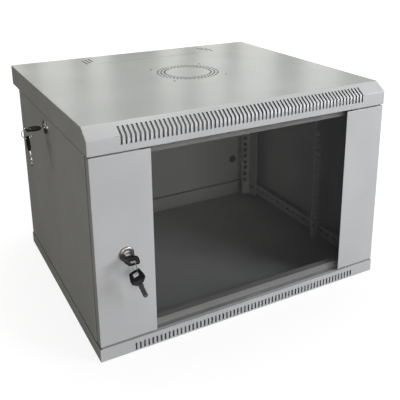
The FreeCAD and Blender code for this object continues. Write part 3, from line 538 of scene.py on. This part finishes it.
def carve(piece, cutter):
    """Cut the cutter's shape out of the piece, and remove the cutter."""
    apply_modifier(piece, "BOOLEAN", operation="DIFFERENCE", solver="EXACT", object=cutter)
    bpy.data.objects.remove(cutter, do_unlink=True)


def twin(piece, name):
    """Another of the same piece, with its own mesh."""
    other = piece.copy()
    other.data = piece.data.copy()
    other.name = name
    bpy.context.scene.collection.objects.link(other)
    return other


def put(piece, place, node, look):
    """Set the piece where the CAD node is, and let it stand for that node."""
    piece.matrix_world = place
    activate(piece)
    bpy.ops.object.transform_apply(location=True, rotation=True, scale=True)
    dress(piece, material_for(slot_of(node), look))
    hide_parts(node)
    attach(piece, body_of(node))


def body_of(node):
    """The body that a node rides on."""
    return frame["nodes"][node]["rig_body"]


def merged_copy(node, name):
    """The CAD solid as a closed mesh with flat faces, free of its body."""
    piece = twin(frame["nodes"][node], name)
    piece.parent = None
    del piece["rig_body"], piece["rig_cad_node"]
    edit(piece)
    merge_within, flat_within = 0.000002, math.radians(0.5)
    bpy.ops.mesh.remove_doubles(threshold=merge_within)
    bpy.ops.mesh.dissolve_limited(angle_limit=flat_within)
    return piece


def folded_sheet(node, radius, look):
    """Folded steel: every outside bend between two broad faces gets its radius."""
    piece = merged_copy(node, node + "_folded")
    broad, shortest_bend, least_degrees = 3.2 * radius, 0.01, 20

    def is_bend(line):
        long = line.calc_length()
        if len(line.link_faces) != 2 or not line.is_convex or long < shortest_bend:
            return False
        wide = all(face.calc_area() / long > broad for face in line.link_faces)
        return wide and math.degrees(line.calc_face_angle(0.0)) > least_degrees

    if not choose(piece, "edges", is_bend):
        raise RuntimeError("no bends found on " + node)
    bpy.ops.mesh.bevel(offset=radius, segments=3, affect="EDGES")
    bpy.ops.object.mode_set(mode="OBJECT")
    apply_modifier(piece, "TRIANGULATE")
    smooth(piece, SHARP_DEGREES)
    apply_modifier(piece, "WEIGHTED_NORMAL", keep_sharp=True)
    put(piece, Matrix(), node, look)


def eased_solid(node, radius, look):
    """A machined piece with its sharp edges broken."""
    piece = merged_copy(node, node + "_eased")
    bpy.ops.object.mode_set(mode="OBJECT")
    apply_modifier(piece, "BEVEL", width=radius, segments=2, limit_method="ANGLE",
                   angle_limit=math.radians(SHARP_DEGREES))
    smooth(piece, SHARP_DEGREES)
    put(piece, Matrix(), node, look)


def joint_place(name):
    """Where the axis of a joint runs."""
    for joint in frame["joints"]:
        if joint["name"] == name:
            return Vector(joint["pos_m"])
    raise RuntimeError("no joint " + name)


def turned(axis, degrees):
    """A turn about one axis through the origin."""
    return Matrix.Rotation(math.radians(degrees), 4, axis)


# ------------------------------------------------------------------ operators

# Degrees that turn a lock at the front to each side.
LOCK_TURNS = {"door": 0, "left": -90, "right": 90}
# Place across and width of each tall lamp behind the cabinet.
STRIP_LAMPS = ((0.12, 0.14), (0.38, 0.2), (0.64, 0.14), (1.12, 0.16), (1.42, 0.2), (1.78, 0.3),
               (2.35, 0.36))


class CABINET_OT_finishes(bpy.types.Operator):
    """Give every solid its finish"""

    bl_idname = "cabinet.finishes"
    bl_label = "Finishes"

    def execute(self, context):
        look = look_of(context)
        for name, node in frame["nodes"].items():
            dress(node, material_for(slot_of(name), look))
        return {"FINISHED"}


class CABINET_OT_sheets(bpy.types.Operator):
    """Bend radii on the covers, the door strips and the side panels"""

    bl_idname = "cabinet.sheets"
    bl_label = "Folded Sheets"

    def execute(self, context):
        look = look_of(context)
        for node in ("top_cover", "base_cover", "door_lock_strip", "door_hinge_strip",
                     "side_panel_left", "side_panel_right"):
            folded_sheet(node, look.fold_radius, look)
        return {"FINISHED"}


class CABINET_OT_fasteners(bpy.types.Operator):
    """Broken edges on the bolts, nuts, cams and plugs"""

    bl_idname = "cabinet.fasteners"
    bl_label = "Fasteners"

    def execute(self, context):
        look = look_of(context)
        eased_solid("rail_bolts", look.broken_edge, look)
        for side in LOCK_TURNS:
            for part in ("_lock_nut", "_lock_cam", "_lock_plug"):
                eased_solid(side + part, look.broken_edge, look)
        return {"FINISHED"}


class CABINET_OT_housings(bpy.types.Operator):
    """Lock housings with a domed rosette"""

    bl_idname = "cabinet.housings"
    bl_label = "Lock Housings"

    def execute(self, context):
        look = look_of(context)
        for side in LOCK_TURNS:
            self.make_housing(side, look)
        return {"FINISHED"}

    def make_housing(self, side, look):
        """Domed flange, barrel behind it and a round hole for the plug."""
        node = side + "_lock_housing"
        low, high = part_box(node)
        axis = 1 if side == "door" else 0
        long = high[axis] - low[axis]
        rim = (high[2] - low[2]) / 2
        rosette, barrel, bore = look.rosette_thick, look.barrel / 2, look.bore / 2
        dome, land = rosette * 0.8, rosette * 0.25
        groove, groove_deep = rosette * 0.12, rosette * 0.1
        bare()
        bpy.ops.mesh.primitive_cylinder_add(vertices=64, radius=rim, depth=rosette,
                                            end_fill_type="NGON",
                                            location=(0.0, 0.0, rosette / 2))
        piece = bpy.context.object
        piece.name = node + "_domed"
        bpy.ops.object.transform_apply(location=True)
        edit(piece)
        choose(piece, "faces", lambda face: face.normal.z < -FACING)
        bpy.ops.mesh.inset(thickness=rim - barrel)
        bpy.ops.mesh.extrude_region_move(
            TRANSFORM_OT_translate={"value": (0.0, 0.0, rosette - long)})
        choose(piece, "edges", lambda line: all(
            abs(point.co.z - rosette) < TINY for point in line.verts))
        bpy.ops.mesh.bevel(offset=dome, segments=6, affect="EDGES")
        level, few_corners = 0.999, 8
        choose(piece, "faces", lambda face: face.normal.z > level)
        bpy.ops.mesh.inset(thickness=land)
        bpy.ops.mesh.inset(thickness=groove, depth=-groove_deep)
        # The round cap is the one level face with many corners.
        choose(piece, "faces",
               lambda face: face.normal.z > level and len(face.verts) > few_corners)
        bpy.ops.mesh.inset(thickness=self.flat_radius(piece) - bore)
        bpy.ops.mesh.extrude_region_move(
            TRANSFORM_OT_translate={"value": (0.0, 0.0, -look.bore_deep)})
        bpy.ops.object.mode_set(mode="OBJECT")
        smooth(piece, degrees=35)
        middle = (low + high) / 2
        middle[axis] = {"door": low[1], "left": low[0], "right": high[0]}[side]
        outward = turned("Z", LOCK_TURNS[side]) @ turned("X", 90)
        put(piece, Matrix.Translation(middle) @ outward
            @ Matrix.Translation((0.0, 0.0, -rosette)), node, look)

    def flat_radius(self, piece):
        """Radius of the round flat that is selected."""
        mesh = bmesh.from_edit_mesh(piece.data)
        return max(point.co.xy.length for point in mesh.verts if point.select)


class CABINET_OT_keys(bpy.types.Operator):
    """Moulded bows, milled blades and split rings"""

    bl_idname = "cabinet.keys"
    bl_label = "Keys And Rings"

    def execute(self, context):
        look = look_of(context)
        bow, blade = self.make_bow(look), self.make_blade(look)
        for side in ("door", "left"):
            turn = turned("Z", LOCK_TURNS[side])
            low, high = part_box(side + "_key_bow")
            neck = (low + high) / 2
            if side == "door":
                neck[1] = high[1]
            else:
                neck[0] = high[0]
            put(twin(bow, side + "_key_bow_moulded"),
                Matrix.Translation(neck) @ turn, side + "_key_bow", look)
            hung = (Matrix.Translation(joint_place(side + "_spare_swing")) @ turn
                    @ turned("Y", -look.spare_lean) @ turned("X", -90)
                    @ Matrix.Translation((0.0, look.wire_to_neck, 0.0)))
            put(twin(bow, side + "_spare_bow_moulded"), hung, side + "_spare_bow", look)
            put(twin(blade, side + "_spare_blade_milled"), hung, side + "_spare_blade", look)
            low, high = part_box(side + "_key_ring")
            put(self.make_coil(look, side + "_key_ring_split"),
                Matrix.Translation((low + high) / 2) @ turn @ turned("Y", 90),
                side + "_key_ring", look)
        for pattern in (bow, blade):
            bpy.data.objects.remove(pattern, do_unlink=True)
        return {"FINISHED"}

    def make_bow(self, look):
        """Bow with its neck at the origin, a sunk panel on each face and the ring's slot."""
        wide, long, thick = look.bow_size
        corner_round, slot_round = 0.0017, 0.0009
        panel_rim, panel_step, panel_sunk = 0.0011, 0.0004, 0.0003
        bow = block("bow", (wide, long, thick), (0.0, -long / 2, 0.0))
        shoulders = (-long / 4, -long / 2)
        cut_across(*[((0.0, y, 0.0), (0.0, 1.0, 0.0)) for y in shoulders])
        for y, width in ((0.0, look.bow_neck), (-long, look.bow_end)):
            choose(bow, "verts", lambda point: abs(point.co.y - y) < TINY)
            bpy.ops.transform.resize(value=(width / wide, 1.0, 1.0))
        choose(bow, "edges", lambda line: abs((line.verts[0].co - line.verts[1].co).z) > TINY
               and min(point.co.y for point in line.verts) < -TINY)
        bpy.ops.mesh.bevel(offset=corner_round, segments=4, affect="EDGES")
        choose(bow, "faces", lambda face: abs(face.normal.z) > FACING)
        bpy.ops.mesh.inset(thickness=panel_rim)
        bpy.ops.mesh.inset(thickness=panel_step, depth=-panel_sunk)
        bpy.ops.object.mode_set(mode="OBJECT")
        slot_wide, slot_long = look.bow_slot_wide, look.bow_slot_long
        cutter = block("slot", (slot_wide, slot_long, 4 * thick),
                       (0.0, look.bow_strip + slot_long / 2 - long, 0.0))
        choose(cutter, "edges", lambda line: abs((line.verts[0].co - line.verts[1].co).z) > TINY)
        bpy.ops.mesh.bevel(offset=slot_round, segments=3, affect="EDGES")
        bpy.ops.object.mode_set(mode="OBJECT")
        carve(bow, cutter)
        apply_modifier(bow, "BEVEL", width=look.bow_rounding, segments=3,
                       limit_method="ANGLE", angle_limit=math.radians(50))
        smooth(bow, degrees=40)
        return bow

    def make_blade(self, look):
        """Blade with its root at the origin, cuts along one edge and a groove on each face."""
        wide, long, thick = look.blade_size
        first_cut, cut_pitch, tip_share = 0.2, 0.085, 0.35
        groove_low, groove_high, groove_start, groove_deep = -0.0012, 0.0004, 0.001, 0.0004
        edge = 0.00015
        cut_depths = {1: 0.0009, 2: 0.0016, 4: 0.0006, 5: 0.0013, 7: 0.0018}
        blade = block("blade", (wide, long, thick), (0.0, long / 2, 0.0))
        stations = [long * (first_cut + cut_pitch * step) for step in range(9)]
        cut_across(*[((0.0, y, 0.0), (0.0, 1.0, 0.0)) for y in stations])
        cut_across(*[((x, 0.0, 0.0), (1.0, 0.0, 0.0)) for x in (groove_low, groove_high)])
        for number, depth in cut_depths.items():
            y = stations[number]
            choose(blade, "verts", lambda point: abs(point.co.y - y) < TINY
                   and point.co.x > wide / 2 - TINY)
            bpy.ops.transform.translate(value=(-depth, 0.0, 0.0))
        choose(blade, "verts", lambda point: point.co.y > long - TINY)
        bpy.ops.transform.resize(value=(tip_share, 1.0, 1.0))
        choose(blade, "faces", lambda face: abs(face.normal.z) > FACING
               and groove_low < face.calc_center_median().x < groove_high
               and groove_start < face.calc_center_median().y < stations[-1])
        bpy.ops.mesh.inset(thickness=edge, depth=-groove_deep)
        bpy.ops.object.mode_set(mode="OBJECT")
        apply_modifier(blade, "BEVEL", width=edge, segments=1, limit_method="ANGLE",
                       angle_limit=math.radians(40))
        smooth(blade, degrees=30)
        return blade

    def make_coil(self, look, name):
        """Flat wire wound twice, so that its two ends overlap as on a split ring."""
        bare()
        bpy.ops.mesh.primitive_circle_add(vertices=16, radius=1.0, fill_type="NOTHING")
        coil = bpy.context.object
        coil.name = name
        edit(coil)
        # Two turns and the wire itself stack to three wire thicknesses.
        half_thick = look.wire / 6
        bpy.ops.transform.resize(value=(look.wire / 2, half_thick, 1.0))
        bpy.ops.transform.rotate(value=math.radians(90), orient_axis="X",
                                 center_override=(0.0, 0.0, 0.0))
        bpy.ops.transform.translate(value=(look.ring_radius, 0.0, -2 * half_thick))
        bpy.ops.object.mode_set(mode="OBJECT")
        apply_modifier(coil, "SCREW", axis="Z", angle=2 * math.pi, iterations=2, steps=48,
                       screw_offset=2 * half_thick, use_merge_vertices=False)
        edit(coil)
        bpy.ops.mesh.select_all(action="DESELECT")
        bpy.ops.mesh.select_mode(type="EDGE")
        bpy.ops.mesh.select_non_manifold()
        bpy.ops.mesh.fill_holes(sides=0)
        bpy.ops.object.mode_set(mode="OBJECT")
        smooth(coil, degrees=40)
        return coil


class CABINET_OT_stage(bpy.types.Operator):
    """Floor, lamps and camera"""

    bl_idname = "cabinet.stage"
    bl_label = "Stage"

    def execute(self, context):
        stage = context.scene.cabinet_stage
        self.make_floor()
        self.make_sky(context, stage.sky)
        self.make_lamp("key", spot=(1.2, -1.5, 1.15), aim=(0.05, -0.1, 0.15), size=(1.0, 1.0),
                       watts=stage.key_watts, colour=(0.97, 0.975, 1.06))
        self.make_lamp("front", spot=(-0.1, -2.4, 0.35), aim=(-0.05, 0.2, 0.2),
                       size=(1.4, 0.6), watts=stage.front_watts, colour=(1.0, 0.96, 1.0))
        self.make_lamp("fill", spot=(-1.9, 0.4, 0.5), aim=(-0.25, 0.1, 0.2), size=(1.6, 1.2),
                       watts=stage.fill_watts, colour=(1.0, 0.93, 0.83))
        self.make_lamp("top", spot=(0.2, 0.6, 2.0), aim=(0.0, 0.0, 0.3), size=(1.4, 1.4),
                       watts=stage.top_watts, colour=(1.0, 1.0, 0.97))
        behind, middle, tall = 2.5, 1.1, 1.6
        for number, (across, wide) in enumerate(STRIP_LAMPS):
            self.make_lamp("strip_%d" % number, spot=(across, behind, middle),
                           aim=(across, 0.0, middle), size=(wide, tall),
                           watts=stage.strip_watts * wide, colour=(1.0, 1.0, 0.97))
        self.make_camera(context, stage)
        context.scene.view_settings.view_transform = "Standard"
        return {"FINISHED"}

    def make_floor(self):
        """Pale paper that fades to white away from the cabinet, and is dim in reflections."""
        below, wide = 0.0005, 24.0
        fade_start, fade_end, glow_near, glow_strength = 0.35, 0.8, 0.75, 1.16
        bare()
        bpy.ops.mesh.primitive_plane_add(size=wide,
                                         location=(0.0, 0.0, cad_box[0][2] - below))
        floor = bpy.context.object
        floor.name = "floor"
        shader = Shader("pale_floor")
        paper = shader.noise(scale=3.0, detail=2.0)
        pale = shader.blend(paper * 0.2, opaque((0.86, 0.86, 0.86)), opaque((0.82, 0.82, 0.82)))
        seen = shader.node("ShaderNodeLightPath", output="Is Camera Ray")
        mirrored = shader.node("ShaderNodeLightPath", output="Is Glossy Ray")
        unseen = shader.blend(mirrored, opaque((0.32, 0.32, 0.33)), opaque((0.05, 0.05, 0.055)))
        tone = shader.blend(seen, unseen, pale)
        matt = shader.node("ShaderNodeBsdfDiffuse", None, {"Color": tone})
        glow = shader.node("ShaderNodeEmission", None,
                           {"Color": opaque((1.0, 1.0, 1.0)), "Strength": glow_strength})
        away = shader.node("ShaderNodeVectorMath", {"operation": "LENGTH"},
                           {0: shader.place}, output="Value")
        fade = shader.spread(away, fade_start, fade_end, glow_near, 1.0)
        dress(floor, shader.mix(seen * fade, matt, glow))

    def make_sky(self, context, strength):
        """White where the camera looks, and faint light from all round."""
        world = bpy.data.worlds.new("white_room")
        context.scene.world = world
        world.use_nodes = True
        tree = world.node_tree
        tree.nodes.clear()
        output = tree.nodes.new("ShaderNodeOutputWorld")
        background = tree.nodes.new("ShaderNodeBackground")
        path = tree.nodes.new("ShaderNodeLightPath")
        level = tree.nodes.new("ShaderNodeMapRange")
        level.inputs["To Min"].default_value = strength
        level.inputs["To Max"].default_value = 1.0
        tree.links.new(path.outputs["Is Camera Ray"], level.inputs["Value"])
        tree.links.new(level.outputs["Result"], background.inputs["Strength"])
        tree.links.new(background.outputs["Background"], output.inputs["Surface"])

    def make_lamp(self, name, spot, aim, size, watts, colour):
        """Soft box that the camera doesn't see."""
        bare()
        bpy.ops.object.light_add(type="AREA", location=spot)
        lamp = bpy.context.object
        lamp.name = name + "_lamp"
        lamp.data.shape = "RECTANGLE"
        lamp.data.size, lamp.data.size_y = size
        lamp.data.energy = watts
        lamp.data.color = colour
        lamp.visible_camera = False
        lamp.rotation_euler = (Vector(aim) - Vector(spot)).to_track_quat("-Z", "Y").to_euler()

    def make_camera(self, context, stage):
        """Camera at the eye, level with the upward direction."""
        bare()
        bpy.ops.object.camera_add(location=stage.eye)
        camera = bpy.context.object
        ahead = Vector(stage.ahead).normalized()
        upward = Vector(stage.upward)
        upward = (upward - ahead * upward.dot(ahead)).normalized()
        across = ahead.cross(upward)
        turn = Matrix((across, upward, -ahead)).transposed()
        camera.rotation_euler = turn.to_euler()
        camera.data.sensor_width = 36.0
        camera.data.lens = stage.focal
        camera.data.shift_x, camera.data.shift_y = stage.shift
        camera.data.clip_end = 60.0
        context.scene.camera = camera


class CABINET_PT_panel(bpy.types.Panel):
    """Cabinet tools"""

    bl_idname = "CABINET_PT_panel"
    bl_label = "Wall Cabinet"
    bl_space_type = "VIEW_3D"
    bl_region_type = "UI"
    bl_category = "Cabinet"

    def draw(self, context):
        for operator in OPERATORS:
            self.layout.operator(operator.bl_idname)


OPERATORS = (CABINET_OT_finishes, CABINET_OT_sheets, CABINET_OT_fasteners,
             CABINET_OT_housings, CABINET_OT_keys, CABINET_OT_stage)
CLASSES = (CabinetLook, CabinetStage) + OPERATORS + (CABINET_PT_panel,)


def register():
    for item in CLASSES:
        bpy.utils.register_class(item)
    bpy.types.Scene.cabinet_look = PointerProperty(type=CabinetLook)
    bpy.types.Scene.cabinet_stage = PointerProperty(type=CabinetStage)


def unregister():
    del bpy.types.Scene.cabinet_stage
    del bpy.types.Scene.cabinet_look
    for item in reversed(CLASSES):
        bpy.utils.unregister_class(item)


def main():
    register()
    bpy.ops.cabinet.finishes()
    bpy.ops.cabinet.sheets()
    bpy.ops.cabinet.fasteners()
    bpy.ops.cabinet.housings()
    bpy.ops.cabinet.keys()
    bpy.ops.cabinet.stage()


if __name__ == "__main__":
    main()
